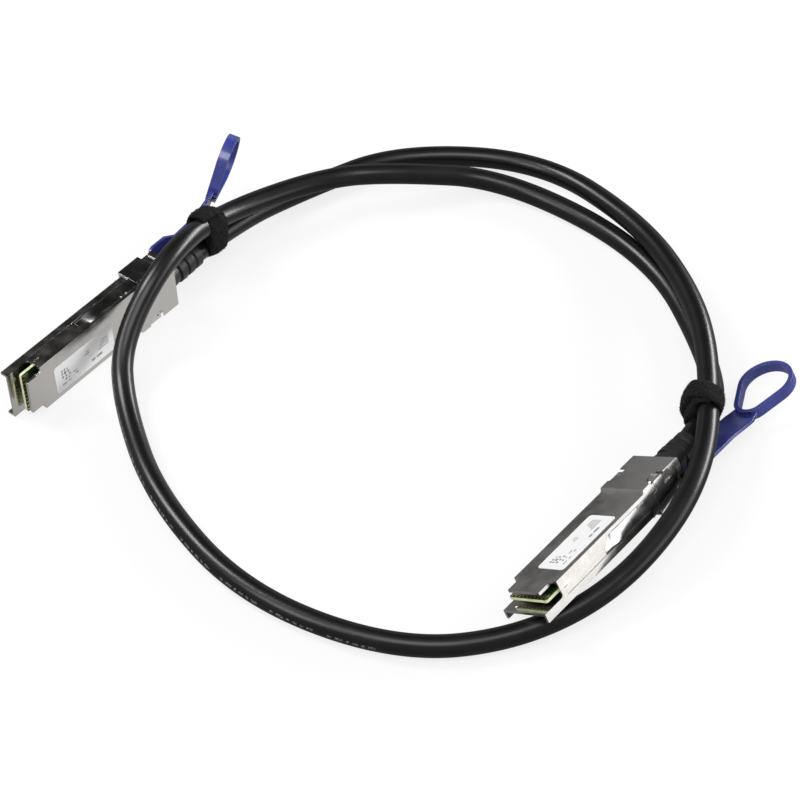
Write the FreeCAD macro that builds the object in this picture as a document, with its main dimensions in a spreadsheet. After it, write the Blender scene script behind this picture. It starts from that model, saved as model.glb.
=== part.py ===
"""Direct attach copper cable: two four-lane plugs on about a metre of round cable, wound in a loop and tied.

All lengths are millimetres and all angles degrees. The part stands in its own frame: +Z up, the floor at
z = 0, +X to the right and +Y away from the viewer, with the origin under the middle of the two plugs.

Each plug is built in a plug frame: x runs back from the nose to the cable, y is to the left, and z is the
outward normal of the labelled face, which is z = 0. Every plug piece then gets the Placement of its plug.
Plug a stands on its narrow side. Plug b lies on its pull tab with its label up, rolled over to the left.
The latch slider and the pull tab of a plug slide back together by the travel and let the plug out of its
socket. The cable, the shells, and everything inside them stay still.
"""
import FreeCAD, Part
import Sketcher
import math
import os
import re

from FreeCAD import Placement, Rotation, Vector

os.makedirs("parts", exist_ok=True)
doc = FreeCAD.newDocument("cable_assembly")

# ---------------------------------------------------------------- driving dimensions
SIZES = {
    # plug shell, from the plug standard: 18.35 wide and 8.5 high inside the socket
    "plug_width": 18.35,
    "plug_height": 8.5,
    "nose_plate_x": 3.2,        # the label plate starts this far behind the lower lips
    "nose_wall_x": 9.0,         # the side walls start here, so the card's edge shows
    "nose_inset": 2.45,         # the label plate's tongue is this much narrower on each side
    "nose_floor_x": 13.2,       # the nose floor drops to the plug's underside here
    "head_x": 53.5,             # front of the head, which stays outside the socket
    "head_end_x": 71.5,
    "head_rise": 1.2,
    "head_floor": 9.0,          # depth of the head's underside below the label face
    "plate_thick": 1.0,
    "floor_thick": 0.8,
    "wall_thin": 0.85,
    "wall_thick": 1.7,
    "wall_step_x": 29.0,        # the side walls are thin in front of here, round the wide card
    "split_depth": 6.2,         # the two shells meet this far below the label face
    "lip_depth": 5.5,           # top of the lower shell's nose
    "axis_depth": 4.25,         # the cable's axis below the label face
    "window_start": 5.0,        # the head's latch windows, behind the head's front
    "window_length": 5.5,
    "window_depth": 3.4,        # how far a window reaches in from the narrow side
    # screws, springs
    "screw_x": 51.4,
    "screw_inset": 3.1,         # from the narrow side to the screw's middle
    "screw_rad": 0.75,
    "spring_inset": 2.9,
    # latch slider and pull tab
    "travel": 2.5,
    "arm_thick": 0.5,
    "arm_tip_x": 31.1,
    "arm_bar_x": 36.6,          # the raised bar that pushes the socket's spring finger out
    "arm_pocket": 0.65,
    "tip_pocket": 1.35,
    "slot_clear": 0.1,
    "slot_roof": 1.2,           # label plate that stays above the arm's slot
    "bridge_depth": 10.7,       # underside of the bridge between the two arms
    "strap_width": 12.0,
    "strap_thick": 1.1,
    "strap_depth": 9.9,         # top of the pull strap below the label face
    "root_length": 7.5,
    "loop_small_rad": 5.7,
    "loop_big_rad": 9.4,
    "loop_length": 24.5,
    "loop_band": 1.5,
    "loop_height": 3.6,
    # card and its contacts
    "card_clear": 0.15,
    "card_front": 3.4,
    "card_rear": 46.0,
    "card_top": 2.9,
    "card_thick": 1.0,
    "pad_pitch": 0.8,
    # label
    "label_x": 14.5,
    "label_length": 27.0,
    "label_width": 11.2,
    "label_shift": 1.7,         # the label lies this far to the right of the plate's middle
    "label_corner": 1.2,
    # cable, ferrule, boot and ties
    "cable_dia": 7.2,
    "cable_start": 68.0,        # where the jacket ends inside the head
    "ferrule_rad": 4.2,
    "boot_end": 86.5,
    "sleeve_rad": 4.15,
    "tie_thick": 1.7,
    "tie_width": 10.0,
    # where the plugs lie
    "a_pos_x": -120.55,
    "a_pos_y": -12.7,
    "a_pos_z": 9.66,
    "a_yaw": 51.1,
    "a_roll": -87.05,
    "b_pos_x": 34.34,
    "b_pos_y": -95.65,
    "b_pos_z": 14.25,
    "b_yaw": 50.77,
    "b_roll": 33.15,
}
sheet = doc.addObject("Spreadsheet::Sheet", "Dims")
for row, (alias, amount) in enumerate(SIZES.items(), start=1):
    sheet.set("A%d" % row, alias)
    sheet.set("B%d" % row, str(amount))
    sheet.setAlias("B%d" % row, alias)
doc.recompute()

ALIAS = re.compile(r"[a-z][a-z_]+")


def size(alias):
    """One value of the sheet, for the pieces that Part's own functions make."""
    return float(getattr(sheet, alias))


def bound(text):
    """An expression written with plain aliases, with the sheet's name put before each of them."""
    return ALIAS.sub(lambda word: "Dims." + word.group(0), str(text))


def amount_of(text):
    """The length that such an expression comes to with the sheet as it is."""
    numbers = ALIAS.sub(lambda word: repr(size(word.group(0))), str(text))
    return FreeCAD.Units.Quantity(numbers).Value


# ---------------------------------------------------------------- primitives
def make(kind, name, **expressions):
    """A Part primitive whose sizes, and corner at, are expressions over the sheet."""
    item = doc.addObject("Part::" + kind, name)
    at = expressions.pop("at", ("0", "0", "0"))
    for axis, text in zip("xyz", at):
        item.setExpression("Placement.Base." + axis, bound(text))
    for prop, text in expressions.items():
        item.setExpression(prop, bound(text))
    return item


def block(name, x0, x1, y0, y1, z0, z1):
    """A box between two corners, each given as expressions."""
    return make("Box", name, at=(x0, y0, z0), Length="(%s) - (%s)" % (x1, x0),
                Width="(%s) - (%s)" % (y1, y0), Height="(%s) - (%s)" % (z1, z0))


def rod(name, x0, x1, radius, y="0", z="-axis_depth"):
    """A round bar along the plug."""
    item = make("Cylinder", name, at=(x0, y, z), Radius=radius, Height="(%s) - (%s)" % (x1, x0))
    item.Placement.Rotation = Rotation(Vector(0, 1, 0), 90)
    return item


def joined(name, items):
    fuse = doc.addObject("Part::MultiFuse", name)
    fuse.Shapes = items
    fuse.Refine = True
    return fuse


def cut(name, body, tools):
    piece = doc.addObject("Part::Cut", name)
    piece.Base = body
    piece.Tool = tools[0] if len(tools) == 1 else joined(name + "_tools", tools)
    piece.Refine = True
    return piece


def solid(name, shape):
    item = doc.addObject("Part::Feature", name)
    item.Shape = shape
    return item


# ---------------------------------------------------------------- bodies with sketches
class Casting:
    """A PartDesign body whose features are drawn on its own three planes.

    TOP outlines are pairs (x, y) at a height z. SIDE outlines are pairs (x, z) at a distance to the right.
    FRONT outlines are pairs (y, z) at a distance x back. Pads run up, to the right and back, and pockets
    run the other way, unless they are turned round.
    """
    TOP, SIDE, FRONT = "XY_Plane", "XZ_Plane", "YZ_Plane"

    def __init__(self, name):
        self.body = doc.addObject("PartDesign::Body", name)

    def origin_item(self, role):
        return next(item for item in self.body.Origin.OriginFeatures if item.Role == role)

    def sketch(self, plane, level):
        sketch = self.body.newObject("Sketcher::SketchObject", self.body.Name + "_sketch")
        sketch.AttachmentSupport = [(self.origin_item(plane), "")]
        sketch.MapMode = "FlatFace"
        sketch.setExpression("AttachmentOffset.Base.z", bound(level))
        return sketch

    def dimension(self, sketch, kind, text, *places):
        number = sketch.addConstraint(Sketcher.Constraint(kind, *places, amount_of(text)))
        sketch.setExpression("Constraints[%d]" % number, bound(text))

    def outline(self, plane, level, corners):
        """A closed outline of straight lines, with both coordinates of every corner dimensioned."""
        sketch = self.sketch(plane, level)
        spots = [Vector(amount_of(along), amount_of(up), 0) for along, up in corners]
        sketch.addGeometry([Part.LineSegment(spot, after) for spot, after in zip(spots, spots[1:] + spots[:1])])
        for number, (along, up) in enumerate(corners):
            sketch.addConstraint(Sketcher.Constraint("Coincident", number, 1, (number or len(corners)) - 1, 2))
            self.dimension(sketch, "DistanceX", along, -1, 1, number, 1)
            self.dimension(sketch, "DistanceY", up, -1, 1, number, 1)
        return sketch

    def circle(self, plane, level, centre, radius):
        sketch = self.sketch(plane, level)
        spot = Vector(amount_of(centre[0]), amount_of(centre[1]), 0)
        sketch.addGeometry(Part.Circle(spot, Vector(0, 0, 1), amount_of(radius)))
        self.dimension(sketch, "Radius", radius, 0)
        self.dimension(sketch, "DistanceX", centre[0], -1, 1, 0, 3)
        self.dimension(sketch, "DistanceY", centre[1], -1, 1, 0, 3)
        return sketch

    def feature(self, kind, sketch, length, turned=False, symmetric=False, mirrored=False):
        item = self.body.newObject("PartDesign::" + kind, self.body.Name + "_" + kind.lower())
        item.Profile = sketch
        item.setExpression("Length", bound(length))
        item.Reversed = turned
        item.SideType = "Symmetric" if symmetric else "One side"
        item.Refine = True
        self.body.Tip = item
        if mirrored:
            mirror = self.body.newObject("PartDesign::Mirrored", self.body.Name + "_mirrored")
            mirror.Originals = [item]
            mirror.MirrorPlane = (self.origin_item(self.SIDE), [""])
            mirror.Refine = True
            self.body.Tip = mirror
        return item

    def pad(self, sketch, length, **how):
        return self.feature("Pad", sketch, length, **how)

    def pocket(self, sketch, length, **how):
        return self.feature("Pocket", sketch, length, **how)

    def revolved(self, corners):
        """Turns an outline round the cable's axis; its pairs are distance back and radius."""
        sketch = self.outline(self.SIDE, "0", corners)
        sketch.setExpression("AttachmentOffset.Base.y", bound("-axis_depth"))
        item = self.body.newObject("PartDesign::Revolution", self.body.Name + "_turned")
        item.Profile = sketch
        item.ReferenceAxis = (sketch, ["H_Axis"])
        item.Angle = 360
        self.body.Tip = item
        return item


def rectangle(low, high, bottom, top):
    return [(low, bottom), (high, bottom), (high, top), (low, top)]


def plug_placement(end):
    turn = Rotation(Vector(0, 0, 1), size(end + "_yaw")) * Rotation(Vector(1, 0, 0), -size(end + "_roll"))
    corner = Vector(*(size("%s_pos_%s" % (end, axis)) for axis in "xyz"))
    return Placement(corner, turn)


pieces = {}


def keep(node, item, place=None):
    """Names a finished sub-part and puts it where it lies."""
    item.Label = node
    if place is not None:
        item.Placement = place
    pieces[node] = item
    return item


# ---------------------------------------------------------------- shells
HALF = "plug_width / 2"


def latch_window(depth, front, rear):
    """Outline of a window in the head, open to the narrow side, with its inner corners taken off."""
    inner = "%s - (%s)" % (HALF, depth)
    return [(front, HALF + " + 1"), (front, inner + " + 1.1"), (front + " + 1.2", inner), (rear + " - 1.2", inner),
            (rear, inner + " + 1.1"), (rear, HALF + " + 1")]


def shell_top(tag):
    """Labelled half of the shell: plate, side walls, and the raised head with its two latch windows."""
    shell = Casting(tag + "shell_top")
    side = shell.outline(shell.SIDE, "0", [
        ("nose_plate_x", "0"), ("nose_plate_x", "-plate_thick"), ("nose_wall_x", "-plate_thick"),
        ("nose_wall_x", "-split_depth"), ("head_x", "-split_depth"), ("head_x", "-axis_depth"),
        ("head_end_x", "-axis_depth"), ("head_end_x", "head_rise - 0.4"), ("head_end_x - 0.4", "head_rise"),
        ("head_x + 0.3", "head_rise"), ("head_x", "head_rise - 0.3"), ("head_x", "0.35"),
        ("head_x - 0.4", "0.35"), ("head_x - 0.4", "0"),
    ])
    shell.pad(side, "plug_width", symmetric=True)
    # inside: wide round the card's front, narrower behind it, and a hollow in the head
    inside = []
    for sign, flip in (("-", 1), ("", -1)):
        wide, narrow = "%s(%s - wall_thin)" % (sign, HALF), "%s(%s - wall_thick)" % (sign, HALF)
        inside += [("nose_wall_x - 1", wide), ("wall_step_x", wide), ("wall_step_x", narrow),
                   ("head_end_x - 1.5", narrow)][::flip]
    shell.pocket(shell.outline(shell.TOP, "-plate_thick", inside), "split_depth")
    shell.pocket(shell.outline(shell.TOP, "1", rectangle("nose_plate_x - 1", "nose_wall_x", HALF + " - nose_inset",
                                                         HALF + " + 1")),
                 "plate_thick + 2", mirrored=True)
    screw = ("screw_x", HALF + " - screw_inset")
    shell.pad(shell.circle(shell.TOP, "-plate_thick + 0.2", screw, "screw_rad + 0.6"),
              "plug_height - floor_thick - plate_thick + 0.2", turned=True, mirrored=True)
    shell.pocket(shell.circle(shell.TOP, "-plug_height", screw, "screw_rad"), "plug_height - 3", turned=True,
                 mirrored=True)
    shell.pocket(shell.circle(shell.FRONT, "head_end_x + 1", ("0", "-axis_depth"), "ferrule_rad + 0.02"), "6")
    # slot of the latch arm, with its stepped front end, and the deep part that the arm's tip springs into
    edge = "-(%s + 1)" % HALF
    arm_slot = [("arm_tip_x - 0.7", "-split_depth - 1"), ("arm_tip_x - 0.7", "-3.7"), ("arm_tip_x + 0.6", "-3.7"),
                ("arm_tip_x + 3.2", "-slot_roof"), ("head_end_x - 2", "-slot_roof"),
                ("head_end_x - 2", "-split_depth - 1")]
    shell.pocket(shell.outline(shell.SIDE, edge, arm_slot), "1 + arm_pocket", turned=True, mirrored=True)
    deep_slot = arm_slot[:3] + [("arm_tip_x + 3.2", "-slot_roof"), ("arm_bar_x + 1 + travel", "-slot_roof"),
                                ("arm_bar_x + 1 + travel", "-split_depth - 1")]
    shell.pocket(shell.outline(shell.SIDE, edge, deep_slot), "1 + tip_pocket", turned=True, mirrored=True)
    # shadow line along the parting plane, and a short mark of the die above it
    shell.pocket(shell.outline(shell.SIDE, edge, rectangle("nose_wall_x + 2", "arm_tip_x", "-split_depth - 1",
                                                           "-split_depth + 0.25")),
                 "1.3", turned=True, mirrored=True)
    shell.pocket(shell.outline(shell.SIDE, edge, rectangle("nose_wall_x + 0.9", "nose_wall_x + 3.2", "-3.6",
                                                           "-3.35")),
                 "1.2", turned=True, mirrored=True)
    # windows in the head, the room for the ears to slide back under a thin roof, and the slot of their necks
    front, rear = "head_x + window_start", "head_x + window_start + window_length"
    shell.pocket(shell.outline(shell.TOP, "head_rise + 1", latch_window("window_depth", front, rear)),
                 "head_rise + 0.9", mirrored=True)
    shell.pocket(shell.outline(shell.TOP, "head_rise - 0.4", latch_window("window_depth", front,
                                                                          rear + " + travel - 0.2")),
                 "head_rise - 0.5", mirrored=True)
    shell.pocket(shell.outline(shell.SIDE, edge, rectangle(front, rear + " + travel - 0.2", "-slot_roof - 0.1",
                                                           "0.5")),
                 "1 + arm_pocket", turned=True, mirrored=True)
    shell.pocket(shell.outline(shell.TOP, "head_rise + 1", rectangle(front + " - 0.9", front + " + 1",
                                                                     HALF + " - 0.8", HALF + " + 1")),
                 "head_rise + 0.6", mirrored=True)
    return shell.body


def shell_bottom(tag):
    """Lower half: nose lips in front of the plate, two rails, and the head's underside."""
    shell = Casting(tag + "shell_bottom")
    side = shell.outline(shell.SIDE, "0", [
        ("0", "-plug_height"), ("0", "-lip_depth"), ("nose_wall_x - 0.9", "-lip_depth"),
        ("nose_wall_x - 0.05", "-lip_depth + 0.45"), ("nose_wall_x - 0.05", "-split_depth"),
        ("head_x", "-split_depth"), ("head_x", "-axis_depth"), ("head_end_x", "-axis_depth"),
        ("head_end_x", "-head_floor + 0.6"), ("head_end_x - 0.6", "-head_floor"), ("head_x", "-head_floor"),
        ("head_x - 0.5", "-plug_height"),
    ])
    shell.pad(side, "plug_width", symmetric=True)
    between = "plug_width - 2 * wall_thin"
    # open underside of the nose, the tray between the rails, and the room above the nose floor
    shell.pocket(shell.outline(shell.SIDE, "0", rectangle("-1", "nose_floor_x", "-plug_height - 1",
                                                          "-lip_depth - floor_thick")),
                 between, symmetric=True)
    shell.pocket(shell.outline(shell.SIDE, "0", rectangle("nose_floor_x + floor_thick", "head_end_x - 1.5",
                                                          "-plug_height + floor_thick", "-axis_depth + 1")),
                 "plug_width - 2 * wall_thick", symmetric=True)
    shell.pocket(shell.outline(shell.SIDE, "0", rectangle("nose_floor_x - 8", "head_x - 1", "-lip_depth",
                                                          "-split_depth + 3")),
                 between, symmetric=True)
    shell.pocket(shell.circle(shell.FRONT, "head_end_x + 1", ("0", "-axis_depth"), "ferrule_rad + 0.02"), "6")
    shell.pocket(shell.circle(shell.TOP, "-plug_height - 1", ("screw_x", HALF + " - screw_inset"),
                              "screw_rad + 0.05"), "3", turned=True, mirrored=True)
    # sides of the head are stepped in for the slider's cheeks
    shell.pocket(shell.outline(shell.SIDE, "-(%s + 1)" % HALF, rectangle("head_x - 0.01", "head_end_x - 2",
                                                                         "-head_floor - 1", "-axis_depth + 1")),
                 "1 + arm_pocket", turned=True, mirrored=True)
    # round mark left by the ejector of the die in the nose floor
    shell.pocket(shell.circle(shell.TOP, "-lip_depth + 1", ("2.4", "5.8"), "0.75"), "1.5")
    return shell.body


def shell_screws(tag):
    """Two pan-head screws that draw the shells together from below."""
    screws = []
    for number, sign in enumerate(("", "-")):
        y = "%s(%s - screw_inset)" % (sign, HALF)
        screws.append(make("Cylinder", tag + "screw_head%d" % number, at=("screw_x", y, "-plug_height - 0.75"),
                           Radius="2 * screw_rad", Height="0.75"))
        screws.append(make("Cylinder", tag + "shank%d" % number, at=("screw_x", y, "-plug_height"),
                           Radius="screw_rad - 0.01", Height="plug_height - 3.6"))
    return joined(tag + "screws", screws)


# ---------------------------------------------------------------- card, contacts and wires
def paddle_card(tag):
    """Laminate card: wide at the front with its corners taken off, narrower between the thick walls."""
    card = Casting(tag + "card")
    corners = []
    for sign, flip in (("-", 1), ("", -1)):
        wide = "%s(%s - wall_thin - card_clear)" % (sign, HALF)
        tip = "%s(%s - wall_thin - card_clear - 0.5)" % (sign, HALF)
        narrow = "%s(%s - wall_thick - card_clear)" % (sign, HALF)
        corners += [("card_front", tip), ("card_front + 0.5", wide), ("wall_step_x - 1", wide),
                    ("wall_step_x - 1", narrow), ("card_rear", narrow)][::flip]
    card.pad(card.outline(card.TOP, "-card_top - card_thick", corners), "card_thick")
    return card.body


def card_contacts(tag):
    """Gold pads on both faces of the card: every other one is a longer ground pad."""
    pads = []
    card_width = size("plug_width") - 2 * (size("wall_thin") + size("card_clear"))
    count = int((card_width - 1) / size("pad_pitch"))
    pad_width, pad_thick = 0.5, 0.05
    for number in range(count):
        y = (number - (count - 1) / 2) * size("pad_pitch") - pad_width / 2
        length = 2.7 if number % 2 == 0 else 1.9
        x = size("card_front") + 3.0 - length
        for z in (-size("card_top") - size("card_thick") - pad_thick, -size("card_top")):
            pads.append(Part.makeBox(length, pad_width, pad_thick, Vector(x, y, z)))
    return solid(tag + "pads", Part.makeCompound(pads))


def wire_comb(tag):
    """Plastic comb that clips over the end of the card and holds the ends of the eight pairs."""
    bar = block(tag + "comb_bar", "card_rear - 3.5", "card_rear + 1.2", "-5.6", "5.6",
                "-card_top - card_thick - 1.3", "-card_top + 1.3")
    tools = [block(tag + "card_gap", "card_rear - 4", "card_rear", "-6", "6", "-card_top - card_thick",
                   "-card_top")]
    for column in (-1.5, -0.5, 0.5, 1.5):
        middle = column * 2.6
        tools.append(block(tag + "pair_slot%g" % column, "card_rear - 0.5", "card_rear + 2", "%g" % (middle - 0.7),
                           "%g" % (middle + 0.7), "-card_top - card_thick / 2 - 1.45",
                           "-card_top - card_thick / 2 + 1.45"))
    return cut(tag + "comb", bar, tools)


def wire_pairs(tag):
    """Eight shielded pairs, four over and four under the card, drawn together into the jacket."""
    pairs = []
    start_x, end_x = size("card_rear") + 0.1, size("cable_start") - 0.15
    middle = -size("card_top") - size("card_thick") / 2
    for number in range(8):
        upper = number < 4
        column = number % 4 - 1.5
        start = Vector(start_x, column * 2.6, middle + (0.75 if upper else -0.75))
        angle = math.radians((22.5 + 45 * (3 - number)) if upper else (202.5 + 45 * (number - 4)))
        end = Vector(end_x, 2.2 * math.cos(angle), -size("axis_depth") + 2.2 * math.sin(angle))
        run = end - start
        pairs.append(Part.makeCylinder(0.6, run.Length, start, run))
    return solid(tag + "pairs", Part.makeCompound(pairs))


# ---------------------------------------------------------------- latch slider and pull tab
def latch_slider(tag):
    """Stamped and folded steel: a channel under the head, an arm down each side, and an ear in each window."""
    slider = Casting(tag + "slider")
    outer = HALF + " - slot_clear / 2"
    inner = outer + " - arm_thick"
    channel = slider.outline(slider.FRONT, "head_x + 3.5", [
        (outer, "-2.5"), (outer, "-bridge_depth"), ("-(%s)" % outer, "-bridge_depth"), ("-(%s)" % outer, "-2.5"),
        ("-(%s)" % inner, "-2.5"), ("-(%s)" % inner, "-bridge_depth + arm_thick"),
        (inner, "-bridge_depth + arm_thick"), (inner, "-2.5"),
    ])
    slider.pad(channel, "9.5")
    # each arm: a straight run in its slot, a raised bar, and a tip that is bent in behind it
    run, bent = outer + " - 0.05", outer + " - 0.72"
    arm = slider.outline(slider.TOP, "-split_depth + 0.3", [
        ("head_x + 9", run), ("arm_bar_x + 2.9", run), ("arm_bar_x + 2.6", outer), ("arm_bar_x", outer),
        ("arm_tip_x + 3.2", bent), ("arm_tip_x", bent), ("arm_tip_x", bent + " - arm_thick"),
        ("arm_tip_x + 3.4", bent + " - arm_thick"), ("arm_bar_x + 0.2", inner + " - 0.05"),
        ("head_x + 9", inner + " - 0.05"),
    ])
    slider.pad(arm, "split_depth - 0.3 - 1.5", mirrored=True)
    neck_front, ear_inner = "head_x + window_start + 0.3", HALF + " - window_depth + 0.3"
    neck = slider.outline(slider.FRONT, neck_front, rectangle(inner, outer, "-2.6", "head_rise - 0.5"))
    slider.pad(neck, "window_length - 1.3", mirrored=True)
    ear = latch_window("window_depth - 0.3", neck_front, neck_front + " + window_length - 1.3")
    ear[0], ear[-1] = (ear[0][0], outer), (ear[-1][0], outer)
    slider.pad(slider.outline(slider.TOP, "head_rise - 0.5 - arm_thick", ear), "arm_thick", mirrored=True)
    slider.pocket(slider.circle(slider.TOP, "head_rise + 1", ("head_x + window_start + 3.1", ear_inner + " + 1.3"),
                                "0.45"), "3", mirrored=True)
    tongue = slider.outline(slider.TOP, "-bridge_depth", rectangle("head_x + 12", "head_end_x + 4.5", "-7", "7"))
    slider.pad(tongue, "arm_thick")
    # the tip's upper corner is cut on the slant, and two nicks are left by the strip it was stamped from
    slant = slider.outline(slider.SIDE, "0", [
        ("arm_tip_x - 1", "0"), ("arm_tip_x - 1", "-4.3"), ("arm_tip_x + 1", "-4.3"), ("arm_tip_x + 3.6", "-1.8"),
        ("arm_tip_x + 3.6", "0"),
    ])
    slider.pocket(slant, "plug_width + 2", symmetric=True)
    for nick in ("head_x - 5", "head_x - 2.6"):
        slider.pocket(slider.outline(slider.SIDE, "0", rectangle(nick, nick + " + 0.8", "-2.2", "0")),
                      "plug_width + 2", symmetric=True)
    return slider.body


def loop_outline(radius_change):
    """Pear-shaped outline of the finger loop: two arcs and the two straight lines that touch them."""
    small = size("loop_small_rad") + radius_change
    big = size("loop_big_rad") + radius_change
    small_x = size("loop_small_rad")
    big_x = size("loop_length") - size("loop_big_rad")
    lean = math.asin((big - small) / (big_x - small_x))

    def on(centre_x, radius, angle):
        return Vector(centre_x + radius * math.cos(angle), radius * math.sin(angle), 0)

    touch = math.pi / 2 + lean
    small_up, small_down = on(small_x, small, touch), on(small_x, small, -touch)
    big_up, big_down = on(big_x, big, touch), on(big_x, big, -touch)
    edges = [
        Part.LineSegment(small_up, big_up).toShape(),
        Part.Arc(big_up, on(big_x, big, 0), big_down).toShape(),
        Part.LineSegment(big_down, small_down).toShape(),
        Part.Arc(small_down, on(small_x, small, math.pi), small_up).toShape(),
    ]
    return Part.Wire(edges)


# The strap's middle line beyond the head, in the plug frame, and how its end lies: the direction of the
# loop and of its width. Plug a's tab is bent up behind the tie, plug b's lifts a little off the floor.
STRAP_ENDS = {
    "a": {"via": Vector(95.0, 0.2, -12.6), "start": Vector(107.9, 2.0, -16.2),
          "along": Vector(0.85, 0.48, -0.22), "across": Vector(-0.33, 0.81, 0.48)},
    "b": {"via": Vector(99.0, 0.0, -10.6), "start": Vector(111.3, -0.2, -11.5),
          "along": Vector(0.99, 0.0, 0.15), "across": Vector(-0.02, 0.99, 0.15)},
}


def section_wire(centre, across, normal, width, thick):
    """A rectangle across the strap."""
    side, up = across * (width / 2), normal * (thick / 2)
    corners = [centre - side - up, centre + side - up, centre + side + up, centre - side + up]
    return Part.makePolygon(corners + corners[:1])


def pull_tab(tag, end):
    """Root moulded round the slider's tongue, a flat strap, and the finger loop as a band on edge."""
    place = STRAP_ENDS[end]
    thick, width = size("strap_thick"), size("strap_width")
    middle = -size("strap_depth") - thick / 2
    root_front = size("head_end_x") + 0.5
    root_rear = root_front + size("root_length")
    root_width = size("plug_width") - 1.0
    flat_y, flat_z = Vector(0, 1, 0), Vector(0, 0, 1)
    along = Vector(place["along"]).normalize()
    across = Vector(place["across"])
    across = (across - along * across.dot(along)).normalize()
    normal = along.cross(across)
    neck = Vector(root_rear + 5, 0, middle)
    mid_along = (place["via"] - neck).normalize()
    mid_across = (flat_y + across).normalize() if end == "a" else flat_y
    mid_across = (mid_across - mid_along * mid_across.dot(mid_along)).normalize()
    mid_normal = mid_along.cross(mid_across)
    sections = [
        section_wire(Vector(root_front, 0, middle), flat_y, flat_z, root_width - 1.2, thick),
        section_wire(Vector(root_front + 1.5, 0, middle), flat_y, flat_z, root_width, thick),
        section_wire(Vector(root_rear, 0, middle), flat_y, flat_z, root_width, thick),
        section_wire(neck, flat_y, flat_z, width, thick),
        section_wire(place["via"], mid_across, mid_normal, width, thick),
        section_wire(place["start"] + along * 0.6, across, normal, width, thick),
    ]
    shape = Part.makeLoft(sections[:2], True, True)
    for first, second in zip(sections[1:], sections[2:]):
        shape = shape.fuse(Part.makeLoft([first, second], True, True))
    tongue_low = -size("bridge_depth")
    shape = shape.cut(Part.makeBox(4.5 - 0.5, 14.0, size("arm_thick"), Vector(root_front, -7.0, tongue_low)))
    outer = Part.Face(loop_outline(0.0)).extrude(Vector(0, 0, size("loop_height")))
    inner = Part.Face(loop_outline(-size("loop_band"))).extrude(Vector(0, 0, size("loop_height")))
    ring = outer.cut(inner)
    ring.translate(Vector(0, 0, -size("loop_height") / 2))
    turn_matrix = FreeCAD.Matrix(along.x, across.x, normal.x, 0, along.y, across.y, normal.y, 0,
                                 along.z, across.z, normal.z, 0, 0, 0, 0, 1)
    ring.Placement = Placement(place["start"], Rotation(turn_matrix)).multiply(ring.Placement)
    return solid(tag + "tab", shape.fuse(ring).removeSplitter())


def return_springs(tag):
    """Two short coils behind the slider's cheeks, drawn as sleeves at their pressed length."""
    coils = []
    for number, sign in enumerate(("", "-")):
        y = "%s(%s - spring_inset)" % (sign, HALF)
        hollow = cut(tag + "coil%d" % number,
                     rod(tag + "coil_out%d" % number, "head_end_x - 5.5", "head_end_x - 1.5", "0.95", y,
                         "-head_floor + 2.35"),
                     [rod(tag + "coil_in%d" % number, "head_end_x - 6", "head_end_x - 1", "0.55", y,
                          "-head_floor + 2.35")])
        coils.append(hollow)
    return joined(tag + "springs", coils)


# ---------------------------------------------------------------- ferrule, boot and label
def crimp_ferrule(tag):
    """Thin copper sleeve that grips the cable's braid in the head's mouth."""
    ferrule = Casting(tag + "ferrule")
    ferrule.revolved(rectangle("head_end_x - 4.5", "head_end_x + 2.5", "cable_dia / 2 + 0.02", "ferrule_rad"))
    return ferrule.body


def cable_boot(tag):
    """Moulded strain relief: a cone against the head, three rings, and a thin sleeve."""
    boot = Casting(tag + "boot")
    corners = [("head_end_x", "ferrule_rad + 0.02"), ("head_end_x", "5.05"), ("head_end_x + 3.2", "4.5"),
               ("head_end_x + 3.2", "sleeve_rad")]
    for number, radius in enumerate((4.95, 4.8, 4.65)):
        front = "head_end_x + %g" % (4.0 + 3.9 * number)
        corners += [(front, "sleeve_rad"), (front, "%g" % radius), (front + " + 2.6", "%g" % radius),
                    (front + " + 2.6", "sleeve_rad")]
    corners += [("boot_end", "sleeve_rad"), ("boot_end", "cable_dia / 2 + 0.02"),
                ("head_end_x + 2.52", "cable_dia / 2 + 0.02"), ("head_end_x + 2.52", "ferrule_rad + 0.02")]
    boot.revolved(corners)
    return boot.body


def face_label(tag):
    """Film sticker with its corners cut round."""
    label = Casting(tag + "label")
    right, left = "-label_shift - label_width / 2", "-label_shift + label_width / 2"
    film = label.pad(label.outline(label.TOP, "0", rectangle("label_x", "label_x + label_length", right, left)),
                     "0.1")
    doc.recompute()
    upright = ["Edge%d" % number for number, edge in enumerate(film.Shape.Edges, start=1)
               if abs(edge.Vertexes[0].Z - edge.Vertexes[-1].Z) > 0.05]
    rounded = label.body.newObject("PartDesign::Fillet", tag + "label_corners")
    rounded.Base = (film, upright)
    rounded.setExpression("Radius", bound("label_corner"))
    label.body.Tip = rounded
    return label.body


BUILDERS = {
    "shell_top": shell_top, "shell_bottom": shell_bottom, "shell_screws": shell_screws,
    "paddle_card": paddle_card, "card_contacts": card_contacts, "wire_comb": wire_comb,
    "wire_pairs": wire_pairs, "latch_slider": latch_slider, "return_springs": return_springs,
    "crimp_ferrule": crimp_ferrule, "cable_boot": cable_boot, "face_label": face_label,
}
for end in ("a", "b"):
    tag = end + "_"
    place = plug_placement(end)
    for node, builder in BUILDERS.items():
        keep(node + "_" + end, builder(tag), place)
    keep("pull_tab_" + end, pull_tab(tag, end), place)

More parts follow.
